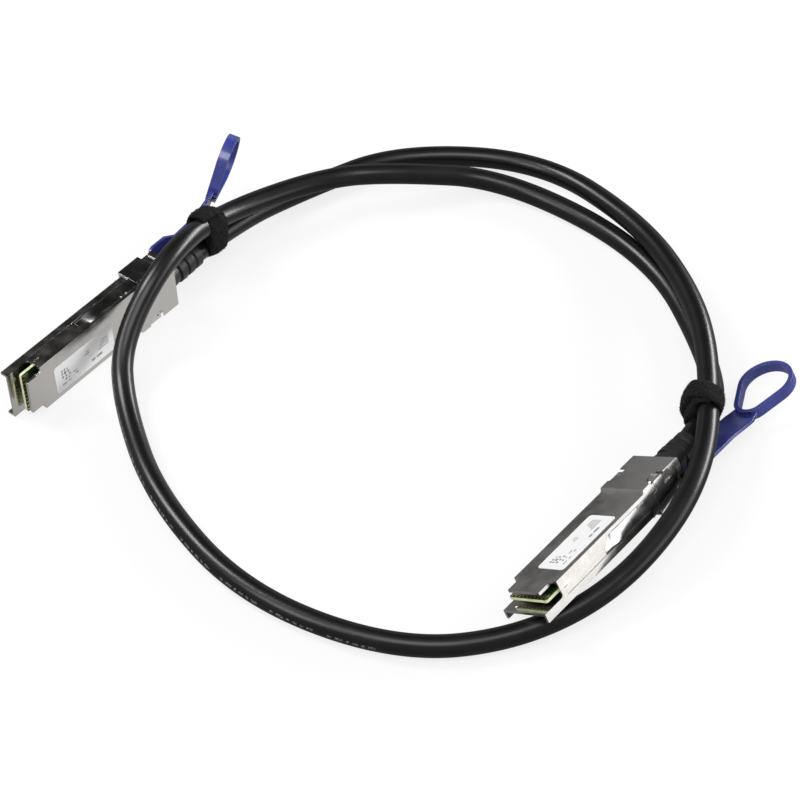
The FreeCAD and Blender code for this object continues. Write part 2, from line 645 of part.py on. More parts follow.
# ---------------------------------------------------------------- cable
# Points of the route between the two plugs, chosen by hand: the cable passes just inside each of them.
# It leaves plug a, goes round the outside of the loop and over the end of plug b, crosses over the head
# of plug a, and comes back round the inside of the loop to plug b.
ROUTE_MIDDLE = [
    (-32.5, 95.4, 3.9), (-0.8, 113.3, 4.1), (50.0, 109.8, 3.8), (84.1, 71.6, 6.2), (98.3, 33.5, 12.2),
    (100.1, -0.2, 17.2), (94.0, -49.5, 17.8), (69.1, -79.7, 4.3), (37.0, -102.6, 3.8), (-1.5, -107.9, 4.1),
    (-47.3, -86.4, 3.8), (-76.4, -47.8, 4.5), (-89.1, -8.4, 3.7), (-91.2, 13.0, 11.5), (-76.1, 37.8, 28.5),
    (-60.3, 69.1, 16.6), (-26.3, 91.4, 12.6), (-2.4, 94.3, 12.2), (37.1, 100.4, 3.8), (83.3, 63.4, 4.0),
    (94.3, 12.4, 3.8),
]


def on_axis(end, distance):
    """A point on a plug's cable axis, in the part's frame."""
    return plug_placement(end).multVec(Vector(distance, 0, -size("axis_depth")))


start_x = size("cable_start")
route = ([on_axis("a", start_x), on_axis("a", start_x + 35.5)]
         + [Vector(*point) for point in ROUTE_MIDDLE]
         + [on_axis("b", start_x + 33.0), on_axis("b", start_x)])


def rounded_path(points):
    """Straight runs joined by tangent arcs, each arc as large as its two runs allow."""
    edges, radii, corner = [], [], points[0]
    for before, point, after in zip(points, points[1:], points[2:]):
        back, ahead = before - point, after - point
        reach = 0.45 * min(back.Length, ahead.Length)
        half_turn = (math.pi - back.getAngle(ahead)) / 2
        radius = reach / math.tan(half_turn)
        enter = point + Vector(back).normalize() * reach
        leave = point + Vector(ahead).normalize() * reach
        inward = (Vector(back).normalize() + Vector(ahead).normalize()).normalize()
        middle = point + inward * (radius / math.cos(half_turn) - radius)
        edges.append(Part.LineSegment(corner, enter).toShape())
        edges.append(Part.Arc(enter, middle, leave).toShape())
        radii.append(radius)
        corner = leave
    edges.append(Part.LineSegment(corner, points[-1]).toShape())
    return Part.Wire(edges), radii


cable_rad = size("cable_dia") / 2
path, bend_radii = rounded_path(route)
first_run = (route[1] - route[0]).normalize()
profile = Part.Wire([Part.makeCircle(cable_rad, route[0], first_run)])
tube = path.makePipeShell([profile], True, True)
keep("cable", solid("cable_tube", tube))

# ---------------------------------------------------------------- ties
# Each tie goes round two strands, given by a point on each and the way that the strands run there.
TIES = {
    "a": {"low": Vector(-63.8, 64.17, 9.28), "high": Vector(-61.67, 64.11, 18.72),
          "along": Vector(0.635, 0.755, -0.14)},
    "b": {"low": Vector(97.4, -15.8, 9.56), "high": Vector(98.25, -15.13, 17.38),
          "along": Vector(-0.096, -0.990, 0.095)},
}


def two_strand_outline(radius, gap):
    """Racetrack round two circles that stand one above the other."""
    edges = [
        Part.Arc(Vector(-radius, 0, 0), Vector(0, -radius, 0), Vector(radius, 0, 0)).toShape(),
        Part.LineSegment(Vector(radius, 0, 0), Vector(radius, gap, 0)).toShape(),
        Part.Arc(Vector(radius, gap, 0), Vector(0, gap + radius, 0), Vector(-radius, gap, 0)).toShape(),
        Part.LineSegment(Vector(-radius, gap, 0), Vector(-radius, 0, 0)).toShape(),
    ]
    return Part.Face(Part.Wire(edges))


for end, tie in TIES.items():
    along = Vector(tie["along"]).normalize()
    up = tie["high"] - tie["low"]
    up = up - along * up.dot(along)
    gap = up.Length
    up.normalize()
    side = up.cross(along)
    band = two_strand_outline(cable_rad + 0.35 + size("tie_thick"), gap).extrude(
        Vector(0, 0, size("tie_width")))
    room = two_strand_outline(cable_rad + 0.35, gap).extrude(Vector(0, 0, size("tie_width")))
    turn = Rotation(FreeCAD.Matrix(side.x, up.x, along.x, 0, side.y, up.y, along.y, 0,
                                   side.z, up.z, along.z, 0, 0, 0, 0, 1))
    corner = tie["low"] - along * (size("tie_width") / 2)
    keep("tie_" + end, solid("tie_band_" + end, band.cut(room)), Placement(corner, turn))

# ---------------------------------------------------------------- checks and export
doc.recompute()
for item in doc.Objects:
    if {"Invalid", "Error"} & set(item.State):
        raise RuntimeError("%s did not build: %s" % (item.Name, item.State))
triangles = 0
for node, item in pieces.items():
    shape = item.Shape
    if shape.isNull() or not shape.isValid() or not shape.Solids:
        raise RuntimeError("%s has no valid solid" % node)
    triangles += len(shape.tessellate(0.1)[1])
section_volume = math.pi * cable_rad ** 2 * path.Length
print("cable length %.0f, volume %.0f against %.0f" % (path.Length, tube.Volume, section_volume))
print("bend radii", " ".join("%.0f" % radius for radius in bend_radii))
print("route ends", [tuple(round(value, 2) for value in route[index]) for index in (0, 1, -2, -1)])
if abs(tube.Volume / section_volume - 1) > 0.01:
    raise RuntimeError("the tube's volume is wrong")
for node, item in pieces.items():
    item.Shape.exportStep("parts/%s.step" % node)
hard = [item.Shape.BoundBox for node, item in pieces.items() if node != "cable" and node[:4] != "tie_"]
print("plugs span x %.1f..%.1f y %.1f..%.1f z %.2f..%.2f" % (
    min(box.XMin for box in hard), max(box.XMax for box in hard), min(box.YMin for box in hard),
    max(box.YMax for box in hard), min(box.ZMin for box in hard), max(box.ZMax for box in hard)))
print("%d nodes, about %d triangles" % (len(pieces), triangles))
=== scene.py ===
"""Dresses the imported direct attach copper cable: its looks, its loose cord, the studio and the camera."""
import math

import bmesh
import bpy
from mathutils import Euler, Matrix, Vector, noise


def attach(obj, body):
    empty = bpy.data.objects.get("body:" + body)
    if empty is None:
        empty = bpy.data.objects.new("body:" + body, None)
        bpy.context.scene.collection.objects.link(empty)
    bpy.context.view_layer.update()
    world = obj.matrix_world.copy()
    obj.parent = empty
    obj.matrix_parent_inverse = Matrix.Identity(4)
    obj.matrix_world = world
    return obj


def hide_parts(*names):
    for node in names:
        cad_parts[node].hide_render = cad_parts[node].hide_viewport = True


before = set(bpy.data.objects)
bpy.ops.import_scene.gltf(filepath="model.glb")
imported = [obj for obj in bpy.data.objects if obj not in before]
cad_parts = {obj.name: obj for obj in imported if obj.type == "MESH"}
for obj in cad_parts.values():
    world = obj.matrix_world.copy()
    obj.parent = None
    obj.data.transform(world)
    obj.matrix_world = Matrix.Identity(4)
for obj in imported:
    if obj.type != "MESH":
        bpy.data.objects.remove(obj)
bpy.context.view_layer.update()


# ---------------------------------------------------------------- camera
# A long lens on a tripod, looking down at the coil from the front. It aims a little above the floor,
# close to the middle of the coil.
CAMERA_AIM = Vector((-0.0003, -0.0052, 0.0035))
CAMERA_HEIGHT_ANGLE = math.radians(47)
CAMERA_DISTANCE = 0.872

camera_data = bpy.data.cameras.new("studio_camera")
camera_data.lens = 121.5
camera_data.sensor_width = 36
camera_data.clip_start = 0.05
camera_data.clip_end = 20
camera = bpy.data.objects.new("studio_camera", camera_data)
toward_camera = Vector((0, -math.cos(CAMERA_HEIGHT_ANGLE), math.sin(CAMERA_HEIGHT_ANGLE)))
camera.location = CAMERA_AIM + CAMERA_DISTANCE * toward_camera
camera.rotation_euler = Euler((math.pi / 2 - CAMERA_HEIGHT_ANGLE, 0, 0))
bpy.context.scene.collection.objects.link(camera)
bpy.context.scene.camera = camera


# ---------------------------------------------------------------- cable
# Round black twinax cable with a smooth vinyl jacket. It leaves plug a, goes once and a half round,
# and ends in plug b. The curve starts and ends inside the heads of the plugs.
MM = 0.001
CABLE_DIAMETER = 0.0072
# in a plug's own millimetres: how far back the cable ends, how deep its axis lies below the label's
# face, and how far it runs on in a straight line
CABLE_START = 68.0
CABLE_DEPTH = 4.25
STRAIGHT_RUNS = {"a": 35.5, "b": 33.0}
# where the label's face of each plug ends at the nose, in millimetres, and how the plug is turned, in
# degrees
PLUG_POSES = {
    "a": {"nose": (-120.55, -12.7, 9.66), "yaw": 51.1, "roll": -87.05},
    "b": {"nose": (34.34, -95.65, 14.25), "yaw": 50.77, "roll": 33.15},
}
# the way from plug a to plug b, in millimetres
CABLE_ROUTE = [
    (-32.5, 95.4, 3.9), (-0.8, 113.3, 4.1), (50.0, 109.8, 3.8), (82.2, 70.8, 9.4), (95.8, 33.0, 14.2),
    (99.2, -0.2, 17.4), (94.0, -49.5, 17.8), (69.1, -84.5, 9.4), (37.0, -102.6, 3.8), (-1.5, -107.9, 4.1),
    (-47.3, -86.4, 3.8), (-76.4, -47.8, 4.5), (-89.1, -8.4, 3.7), (-91.2, 13.0, 11.5), (-76.1, 37.8, 28.5),
    (-60.3, 69.1, 16.6), (-26.3, 91.4, 12.6), (-2.4, 94.3, 12.2), (37.1, 100.4, 3.8), (85.6, 62.2, 3.8),
    (101.2, 12.4, 3.9),
]


def plug_matrix(end):
    """The place of a plug: x back along it, y to its left, z out of its label, in millimetres."""
    pose = PLUG_POSES[end]
    turn = (Matrix.Rotation(math.radians(pose["yaw"]), 4, "Z")
            @ Matrix.Rotation(-math.radians(pose["roll"]), 4, "X"))
    return Matrix.Translation(Vector(pose["nose"]) * MM) @ turn @ Matrix.Scale(MM, 4)


def on_cable_axis(end, distance):
    """The place at a distance back along a plug, on the middle line of the cable."""
    return plug_matrix(end) @ Vector((distance, 0, -CABLE_DEPTH))


def add_piece(name, data):
    """A new object in the scene, at the origin and unturned."""
    piece = bpy.data.objects.new(name, data)
    bpy.context.scene.collection.objects.link(piece)
    return piece


def new_material(name, colour, roughness, metallic=0.0, specular=0.5):
    """A Principled material; returns it with its nodes, its links and its shader."""
    material = bpy.data.materials.new(name)
    material.use_nodes = True
    shader = material.node_tree.nodes["Principled BSDF"]
    shader.inputs["Base Color"].default_value = (*colour, 1)
    shader.inputs["Roughness"].default_value = roughness
    shader.inputs["Metallic"].default_value = metallic
    shader.inputs["Specular IOR Level"].default_value = specular
    return material, material.node_tree.nodes, material.node_tree.links, shader


# nearly all the values of a noise lie between these two
NOISE_LOW, NOISE_HIGH = 0.35, 0.65


def add_noise(nodes, links, scale, detail):
    """Noise on Object coordinates, finer where scale is larger."""
    place = nodes.new("ShaderNodeTexCoord")
    pattern = nodes.new("ShaderNodeTexNoise")
    pattern.inputs["Scale"].default_value = scale
    pattern.inputs["Detail"].default_value = detail
    links.new(place.outputs["Object"], pattern.inputs["Vector"])
    return pattern


def vary(nodes, links, pattern, target, low, high):
    """Lets a noise move a number of the shader between low and high."""
    spread = nodes.new("ShaderNodeMapRange")
    spread.inputs["From Min"].default_value = NOISE_LOW
    spread.inputs["From Max"].default_value = NOISE_HIGH
    spread.inputs["To Min"].default_value = low
    spread.inputs["To Max"].default_value = high
    links.new(pattern.outputs["Fac"], spread.inputs["Value"])
    links.new(spread.outputs["Result"], target)


def tint(nodes, links, pattern, shader, dark, light, start=NOISE_LOW, end=NOISE_HIGH):
    """Lets a noise move the colour between two shades."""
    ramp = nodes.new("ShaderNodeValToRGB")
    ramp.color_ramp.elements[0].position = start
    ramp.color_ramp.elements[0].color = (*dark, 1)
    ramp.color_ramp.elements[1].position = end
    ramp.color_ramp.elements[1].color = (*light, 1)
    links.new(pattern.outputs["Fac"], ramp.inputs["Fac"])
    links.new(ramp.outputs["Color"], shader.inputs["Base Color"])


def add_bump(nodes, links, pattern, shader, height, strength):
    """Surface relief of a real height in metres."""
    bump = nodes.new("ShaderNodeBump")
    bump.inputs["Strength"].default_value = strength
    bump.inputs["Distance"].default_value = height
    links.new(pattern.outputs["Fac"], bump.inputs["Height"])
    links.new(bump.outputs["Normal"], shader.inputs["Normal"])


def jacket_vinyl():
    material, nodes, links, shader = new_material("jacket_vinyl", (0.008, 0.008, 0.008), roughness=0.31)
    handling = add_noise(nodes, links, scale=90, detail=3)
    vary(nodes, links, handling, shader.inputs["Roughness"], low=0.28, high=0.31)
    tint(nodes, links, handling, shader, dark=(0.005, 0.005, 0.005), light=(0.007, 0.0068, 0.0068))
    grain = add_noise(nodes, links, scale=2600, detail=2)
    add_bump(nodes, links, grain, shader, height=0.000003, strength=0.2)
    return material


cable_curve = bpy.data.curves.new("cable_jacket", "CURVE")
cable_curve.dimensions = "3D"
cable_curve.resolution_u = 24
cable_curve.bevel_depth = CABLE_DIAMETER / 2
cable_curve.bevel_resolution = 7
cable_curve.use_fill_caps = True
cable_line = cable_curve.splines.new("NURBS")
cable_points = ([on_cable_axis("a", CABLE_START), on_cable_axis("a", CABLE_START + STRAIGHT_RUNS["a"])]
                + [Vector(point) * MM for point in CABLE_ROUTE]
                + [on_cable_axis("b", CABLE_START + STRAIGHT_RUNS["b"]), on_cable_axis("b", CABLE_START)])
cable_line.points.add(len(cable_points) - 1)
for knot, place in zip(cable_line.points, cable_points):
    knot.co = (*place, 1)
cable_line.order_u = 3
cable_line.use_endpoint_u = True
cable = add_piece("cable_jacket", cable_curve)
cable_curve.materials.append(jacket_vinyl())
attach(cable, "assembly")
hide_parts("cable")


# ---------------------------------------------------------------- print on the jacket
# Pale, worn dashes in groups along the outside of the coil's front and left. They are thin patches that
# lie on the jacket and follow the cable's own curve.

# the dashes, in millimetres: the lengths in a group, the gaps inside and after a group, and the width
DASH_LENGTHS = (2.2, 1.1, 1.7, 0.9, 2.6, 1.3)
DASH_GAP = 1.0
GROUP_GAP = 4.5
DASH_WIDTH = 0.9
# shares of the cable's length
PRINT_START, PRINT_END = 0.475, 0.66
# how far round from the top of the jacket the print lies
SIDE_AT_START, SIDE_AT_END = math.radians(86), math.radians(56)
PRINT_LIFT = 0.00004


def cable_line_points():
    """Places along the cable's middle line, with the length of cable up to each."""
    bare = cable_curve.copy()
    bare.bevel_depth = 0
    carrier = add_piece("bare_line", bare)
    line = bpy.data.meshes.new_from_object(carrier.evaluated_get(bpy.context.evaluated_depsgraph_get()))
    places = [vertex.co.copy() for vertex in line.vertices]
    bpy.data.objects.remove(carrier)
    bpy.data.meshes.remove(line)
    reached = [0.0]
    for before, after in zip(places, places[1:]):
        reached.append(reached[-1] + (after - before).length)
    return places, reached


def jacket_ink():
    material, nodes, links, shader = new_material("jacket_ink", (0.16, 0.16, 0.16), roughness=0.5)
    wear = add_noise(nodes, links, scale=1800, detail=3)
    tint(nodes, links, wear, shader, dark=(0.02, 0.02, 0.02), light=(0.19, 0.19, 0.19), start=0.38, end=0.62)
    return material


def dash_rim(places, reached, distance):
    """The three points across a dash, at a distance along the cable."""
    number = next(n for n, far in enumerate(reached) if far >= distance)
    share = (distance - reached[number - 1]) / (reached[number] - reached[number - 1])
    middle = places[number - 1].lerp(places[number], share)
    ahead = (places[number] - places[number - 1]).normalized()
    outward = Vector((0, 0, 1)).cross(ahead).normalized()
    upward = ahead.cross(outward)
    progress = (distance / reached[-1] - PRINT_START) / (PRINT_END - PRINT_START)
    side = SIDE_AT_START + (SIDE_AT_END - SIDE_AT_START) * progress
    half_angle = DASH_WIDTH * MM / CABLE_DIAMETER
    out = CABLE_DIAMETER / 2 + PRINT_LIFT
    return [middle + out * (upward * math.cos(angle) + outward * math.sin(angle))
            for angle in (side - half_angle, side, side + half_angle)]


def jacket_print():
    """Dash after dash along the printed stretch, with a wider gap after each group."""
    places, reached = cable_line_points()
    work = bmesh.new()
    count = 0
    distance = PRINT_START * reached[-1]
    while distance < PRINT_END * reached[-1]:
        dash = DASH_LENGTHS[count % len(DASH_LENGTHS)] * MM
        near = [work.verts.new(place) for place in dash_rim(places, reached, distance)]
        far = [work.verts.new(place) for place in dash_rim(places, reached, distance + dash)]
        for one, two in ((0, 1), (1, 2)):
            work.faces.new((near[one], near[two], far[two], far[one]))
        count += 1
        distance += dash + (GROUP_GAP if count % len(DASH_LENGTHS) == 0 else DASH_GAP) * MM
    mesh = bpy.data.meshes.new("jacket_print")
    work.to_mesh(mesh)
    work.free()
    return mesh


dashes_mesh = jacket_print()
dashes_mesh.materials.append(jacket_ink())
dashes = add_piece("jacket_print", dashes_mesh)
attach(dashes, "assembly")


# ---------------------------------------------------------------- metal shells
# Two die-cast halves to each plug, plated in satin nickel. The edges are broken by the tumbling that
# follows casting, so each node is copied, its triangles joined into faces, and its edges bevelled.
SHELL_EDGE = 0.00016
# corners this near to each other are one, triangles this nearly level are one face, and an edge that
# turns by more than this is sharp
WELD_DISTANCE = 2e-6
LEVEL_WITHIN = math.radians(1)
SHARP_FROM = math.radians(32)


def broken_edges(node, name, width, material, body, segments=2):
    """A copy of a node with its sharp edges rounded to a width, which stands for the node."""
    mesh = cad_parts[node].data.copy()
    mesh.materials.clear()
    mesh.name = name
    work = bmesh.new()
    work.from_mesh(mesh)
    bmesh.ops.remove_doubles(work, verts=work.verts, dist=WELD_DISTANCE)
    bmesh.ops.dissolve_limit(work, angle_limit=LEVEL_WITHIN, verts=work.verts, edges=work.edges)
    for edge in work.edges:
        edge.smooth = True
    for face in work.faces:
        face.smooth = True
    work.to_mesh(mesh)
    work.free()
    piece = add_piece(name, mesh)
    bevel = piece.modifiers.new("broken_edges", "BEVEL")
    bevel.width = width
    bevel.segments = segments
    bevel.limit_method = "ANGLE"
    bevel.angle_limit = SHARP_FROM
    bevel.use_clamp_overlap = True
    flats = piece.modifiers.new("flat_faces", "WEIGHTED_NORMAL")
    flats.weight = 100
    flats.keep_sharp = True
    mesh.materials.append(material)
    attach(piece, body)
    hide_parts(node)
    return piece


def plated_nickel(name, colour, roughness):
    """Plating of a colour, with clouds of more and less gloss and a slightly uneven skin."""
    material, nodes, links, shader = new_material(name, colour, roughness, metallic=1.0)
    cloud = add_noise(nodes, links, scale=220, detail=4)
    vary(nodes, links, cloud, shader.inputs["Roughness"], low=roughness - 0.04, high=roughness + 0.05)
    skin = add_noise(nodes, links, scale=900, detail=3)
    add_bump(nodes, links, skin, shader, height=0.00002, strength=0.35)
    return material


nickel = plated_nickel("plated_nickel", (0.74, 0.715, 0.69), roughness=0.2)
for end in "ab":
    broken_edges("shell_top_" + end, "top_half_" + end, SHELL_EDGE, nickel, "assembly")
    broken_edges("shell_bottom_" + end, "lower_half_" + end, SHELL_EDGE, nickel, "assembly")


# ---------------------------------------------------------------- stamped and turned steel
# The latch slider is punched from half-millimetre spring steel and tumbled. The screws and the return
# springs are of the same bright steel.
STEEL_EDGE = 0.00008
WIRE_EDGE = 0.00005

bright_steel = plated_nickel("bright_steel", (0.78, 0.78, 0.78), roughness=0.16)
for end in "ab":
    broken_edges("latch_slider_" + end, "latch_" + end, STEEL_EDGE, bright_steel,
                 "release_" + end)
    broken_edges("shell_screws_" + end, "screws_" + end, STEEL_EDGE, bright_steel,
                 "assembly")
    broken_edges("return_springs_" + end, "springs_" + end, WIRE_EDGE, bright_steel,
                 "assembly")


# ---------------------------------------------------------------- circuit card, contacts and wires
# A one-millimetre laminate card with gold pads on both faces. A nylon comb and eight foil pairs lie
# behind it, and a tinned copper ferrule grips the cable's braid.
CARD_BROKEN_EDGE = 0.00004
PAD_EDGE = 0.00001
COMB_EDGE = 0.00008
FOIL_EDGE = 0.00005
FERRULE_EDGE = 0.00006
# a face of the card is green where it looks this nearly straight up or down, with 1 for quite straight
GREEN_FACE = 0.9


def speckled(name, dark, light, roughness):
    """Laminate or plastic whose colour wanders between two shades."""
    material, nodes, links, shader = new_material(name, light, roughness)
    weave = add_noise(nodes, links, scale=700, detail=2)
    tint(nodes, links, weave, shader, dark, light)
    return material


laminate = speckled("card_edge", (0.62, 0.70, 0.36), (0.78, 0.84, 0.55), roughness=0.5)
solder_mask = speckled("card_mask", (0.012, 0.03, 0.012), (0.02, 0.05, 0.018), roughness=0.3)
gold = plated_nickel("contact_gold", (0.95, 0.86, 0.6), roughness=0.4)
foil = plated_nickel("pair_foil", (0.8, 0.8, 0.82), roughness=0.3)
ferrule_tin = plated_nickel("ferrule_tin", (0.75, 0.7, 0.6), roughness=0.3)
comb_nylon = speckled("comb_nylon", (0.024, 0.024, 0.024), (0.036, 0.036, 0.038), roughness=0.5)
for end in "ab":
    card = broken_edges("paddle_card_" + end, "card_" + end, CARD_BROKEN_EDGE, laminate,
                        "assembly")
    card.data.materials.append(solder_mask)
    card_up = plug_matrix(end).to_3x3().normalized() @ Vector((0, 0, 1))
    for face in card.data.polygons:
        face.material_index = 1 if abs(face.normal.dot(card_up)) > GREEN_FACE else 0
    broken_edges("card_contacts_" + end, "pads_" + end, PAD_EDGE, gold, "assembly")
    broken_edges("wire_comb_" + end, "comb_" + end, COMB_EDGE, comb_nylon, "assembly")
    broken_edges("wire_pairs_" + end, "pairs_" + end, FOIL_EDGE, foil, "assembly")
    broken_edges("crimp_ferrule_" + end, "ferrule_" + end, FERRULE_EDGE, ferrule_tin,
                 "assembly")


# ---------------------------------------------------------------- strain relief
# Black rubber, moulded round the cable and its ferrule: a cone against the head, three soft rings and a
# thin sleeve.
BOOT_EDGE = 0.00035


def boot_rubber():
    material, nodes, links, shader = new_material("boot_rubber", (0.016, 0.016, 0.017), roughness=0.42)
    grain = add_noise(nodes, links, scale=1400, detail=3)
    vary(nodes, links, grain, shader.inputs["Roughness"], low=0.36, high=0.5)
    add_bump(nodes, links, grain, shader, height=0.00003, strength=0.5)
    return material


rubber = boot_rubber()
for end in "ab":
    broken_edges("cable_boot_" + end, "boot_" + end, BOOT_EDGE, rubber, "assembly", segments=3)


# ---------------------------------------------------------------- pull tabs
# Moulded in one piece from dark blue nylon: a root on the slider's bridge, a flat strap and a loop. The
# loop of plug a has taken a slight twist.
TAB_EDGE = 0.0002
# where the strap meets the loop, in the plug's own millimetres: its middle, its run and its width
TAB_NECKS = {
    "a": {"middle": (107.9, 2.0, -16.2), "along": (0.85, 0.48, -0.22), "across": (-0.33, 0.81, 0.48)},
    "b": {"middle": (111.3, -0.2, -11.5), "along": (0.99, 0.0, 0.15), "across": (-0.02, 0.99, 0.15)},
}
# corners this near to the neck, and this far or more to its side, are drawn in and on, in millimetres
NECK_NEAR = 1.2
NECK_REACH = 2.2
NECK_DRAWN_IN = 1.7
NECK_DRAWN_ON = 1.6
# how far each loop is turned about its own run, and over how many millimetres the turn builds up
LOOP_TWISTS = {"a": math.radians(-5), "b": 0.0}
LOOP_TWIST_OVER = 9.0


def tab_nylon():
    """Blue nylon under a clear, glossy skin."""
    material, nodes, links, shader = new_material("tab_nylon", (0.03, 0.04, 0.26), roughness=0.34)
    shader.inputs["Coat Weight"].default_value = 0.9
    shader.inputs["Coat Roughness"].default_value = 0.16
    shader.inputs["Coat IOR"].default_value = 1.7
    flow = add_noise(nodes, links, scale=140, detail=3)
    vary(nodes, links, flow, shader.inputs["Roughness"], low=0.3, high=0.4)
    tint(nodes, links, flow, shader, dark=(0.026, 0.038, 0.22), light=(0.036, 0.048, 0.29))
    return material


def draw_in_neck(mesh, end):
    """Brings the strap's two end corners in to the loop, so that its edges run into the loop's band."""
    neck = TAB_NECKS[end]
    place = plug_matrix(end)
    middle = Vector(neck["middle"])
    along = Vector(neck["along"]).normalized()
    across = Vector(neck["across"])
    across = (across - along * across.dot(along)).normalized()
    through = along.cross(across)
    for vertex in mesh.vertices:
        corner = place.inverted() @ vertex.co
        off = corner - middle
        sideways = off.dot(across)
        at_neck = abs(off.dot(along)) < NECK_NEAR and abs(off.dot(through)) < NECK_NEAR
        if at_neck and abs(sideways) > NECK_REACH:
            corner += along * NECK_DRAWN_ON - across * math.copysign(NECK_DRAWN_IN, sideways)
            vertex.co = place @ corner


def twist_loop(mesh, end):
    """Turns the loop about its own run, more with each step away from the strap."""
    neck = TAB_NECKS[end]
    place = plug_matrix(end)
    middle = Vector(neck["middle"])
    along = Vector(neck["along"]).normalized()
    for vertex in mesh.vertices:
        off = place.inverted() @ vertex.co - middle
        built_up = min(1.0, max(0.0, off.dot(along) / LOOP_TWIST_OVER))
        turn = Matrix.Rotation(LOOP_TWISTS[end] * built_up, 3, along)
        vertex.co = place @ (middle + turn @ off)


tab_blue = tab_nylon()
for end in "ab":
    tab = broken_edges("pull_tab_" + end, "tab_" + end, TAB_EDGE, tab_blue, "release_" + end)
    draw_in_neck(tab.data, end)
    twist_loop(tab.data, end)


# ---------------------------------------------------------------- labels
# White film stickers with rounded corners, one on the plate of each plug. Plain grey bars and dots are
# printed on them.
LABEL_EDGE = 0.00003
# in the plug's own millimetres: how high the label's face lies, and how thick the print is
LABEL_TOP = 0.1
INK_THICK = 0.012
# each mark: x and y of its middle, its length along the plug, its width across, all in millimetres
LABEL_BARS = [
    (37.6, 0.5, 3.0, 0.4), (37.4, -0.5, 3.8, 0.4), (37.1, -1.5, 4.4, 0.4), (36.7, -2.5, 5.0, 0.4),
    (34.4, -4.7, 2.6, 0.9), (31.6, -4.7, 1.6, 0.9), (29.6, 0.6, 1.6, 0.35), (29.2, -0.4, 2.4, 0.35),
    (23.2, -3.2, 1.8, 0.4), (24.0, -4.4, 1.0, 0.5), (20.6, -5.2, 1.2, 0.4), (18.0, -5.2, 2.0, 0.4),
]
# each dot: x and y of its middle and its radius
LABEL_DOTS = [
    (17.6, 0.6, 0.42), (18.8, 0.6, 0.42), (20.0, 0.2, 0.3), (17.6, -0.6, 0.42), (18.9, -0.8, 0.62),
    (20.3, -1.0, 0.42), (17.7, -2.0, 0.5), (19.2, -2.2, 0.42), (20.8, -2.4, 0.42), (19.0, -3.5, 0.42),
    (20.4, -3.7, 0.3),
]


def label_film():
    material, nodes, links, shader = new_material("label_film", (0.84, 0.84, 0.84), roughness=0.45)
    fibre = add_noise(nodes, links, scale=1500, detail=2)
    add_bump(nodes, links, fibre, shader, height=0.00001, strength=0.3)
    return material


def label_ink():
    material, nodes, links, shader = new_material("label_ink", (0.3, 0.3, 0.31), roughness=0.55)
    screen = add_noise(nodes, links, scale=2600, detail=1)
    tint(nodes, links, screen, shader, dark=(0.07, 0.07, 0.075), light=(0.42, 0.42, 0.42), start=0.3, end=0.7)
    return material


def print_marks(end):
    """Thin prints on the label, drawn in the plug's own millimetres and then laid where the plug lies."""
    work = bmesh.new()
    for x, y, length, width in LABEL_BARS:
        bar = bmesh.ops.create_cube(work, size=1)["verts"]
        bmesh.ops.scale(work, vec=(length, width, INK_THICK), verts=bar)
        bmesh.ops.translate(work, vec=(x, y, LABEL_TOP + INK_THICK / 2), verts=bar)
    for x, y, radius in LABEL_DOTS:
        dot = bmesh.ops.create_cone(work, cap_ends=True, segments=20, radius1=radius, radius2=radius,
                                    depth=INK_THICK)["verts"]
        bmesh.ops.translate(work, vec=(x, y, LABEL_TOP + INK_THICK / 2), verts=dot)
    mesh = bpy.data.meshes.new("label_print_" + end)
    work.to_mesh(mesh)
    work.free()
    mesh.transform(plug_matrix(end))
    return mesh


film = label_film()
ink = label_ink()
for end in "ab":
    broken_edges("face_label_" + end, "label_" + end, LABEL_EDGE, film, "assembly")
    print_mesh = print_marks(end)
    print_mesh.materials.append(ink)
    label_print = add_piece("label_print_" + end, print_mesh)
    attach(label_print, "assembly")


# ---------------------------------------------------------------- ties
# A strip of hook-and-loop cloth wound one and a half times round two strands near each plug. Its outer
# end slides off the turn below and bulges a little, and a pile of short fibres stands out of it.

# each tie: the middles of its two strands, in millimetres, and the way that they run; its width and how
# far its end slides and bulges, in metres; and the share of the way round at which it starts
TIES = {
    "a": {"low": (-64.6, 62.7, 10.0), "high": (-63.7, 61.0, 19.8), "along": (0.635, 0.755, -0.14),
          "width": 0.0080, "slide": -0.0018, "bulge": 0.0006, "start": 0.88},
    "b": {"low": (95.1, -18.0, 9.7), "high": (97.1, -19.2, 17.6), "along": (-0.2, -0.975, 0.05),
          "width": 0.0075, "slide": -0.0042, "bulge": 0.0014, "start": 0.36},
}
STRIP_THICK = 0.0009
STRIP_CLEARANCE = 0.00015
STRIP_TURNS = 1.5
STRIP_STEPS = 132
STRIP_ROWS = 9
# how far the strip's underside reaches in between the two strands
WAIST_FILL = 0.0024
# the outer turn climbs by so many thicknesses, from this far round and over so much of a turn
CLIMB = 1.05
CLIMB_FROM = 0.85
CLIMB_OVER = 0.15
# the share of the outer half turn over which it slides off the turn below
SLID_BY = 0.35
# how much lower the strip's edges are than its middle, as a share of its thickness
CROWN_FALL = 0.35
# heights of the strip's waves, and how quickly they follow each other along it and across it
SLACK, SLACK_PACE = 0.0003, 7
EDGE_WANDER, EDGE_PACE = 0.0007, 9
WRINKLE, WRINKLE_PACE, WRINKLE_ROW_PACE = 0.00035, 16, 0.9
# how far each fibre may lean and turn, in radians, and its length as a share of the named one
FIBRE_LEAN = 0.9
FIBRE_TURN = 6.28
FIBRE_SHORTEST, FIBRE_LONGEST = 0.4, 1.2
PILE = {"Fibres per square metre": 4.5e6, "Fibre length": 0.00045, "Fibre thickness": 0.00007, "Seed": 4}


